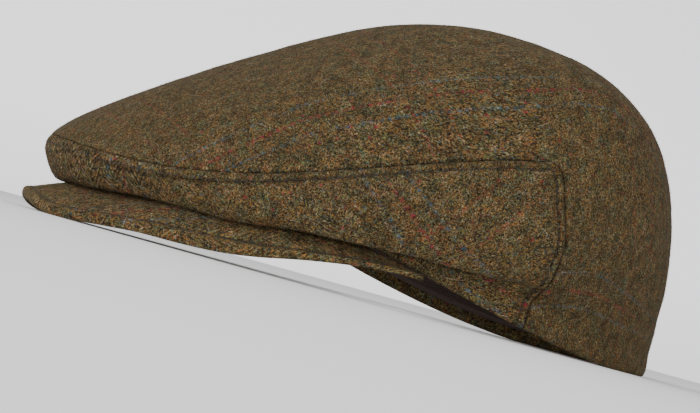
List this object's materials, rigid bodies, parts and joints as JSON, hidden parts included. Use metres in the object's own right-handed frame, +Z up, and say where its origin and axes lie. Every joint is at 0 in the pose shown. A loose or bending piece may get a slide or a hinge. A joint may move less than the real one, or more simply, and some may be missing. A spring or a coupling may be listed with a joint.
{
  "type": "flat cap",
  "caption": "Flat cap of checked wool tweed: full crown leaning over a short stiff peak, curved rear seam, turned hem and ribbed inner sweatband.",
  "frame": {"origin": "on the table under the middle of the whole cap's outline", "axes": "+Z up, -Y the way the peak points, +X the wearer's left side"},
  "size_m": [0.2058, 0.279, 0.1268],
  "materials": {
    "tweed": "milled wool tweed, heathered brown with a fine blue and red overcheck",
    "ribbon": "dark brown ribbed cotton ribbon"
  },
  "bodies": {
    "root": {"top_panel": "tweed", "side_panel_left": "tweed", "side_panel_right": "tweed", "peak": "tweed", "hem_facing": "tweed", "sweatband": "ribbon"}
  },
  "joints": []
}
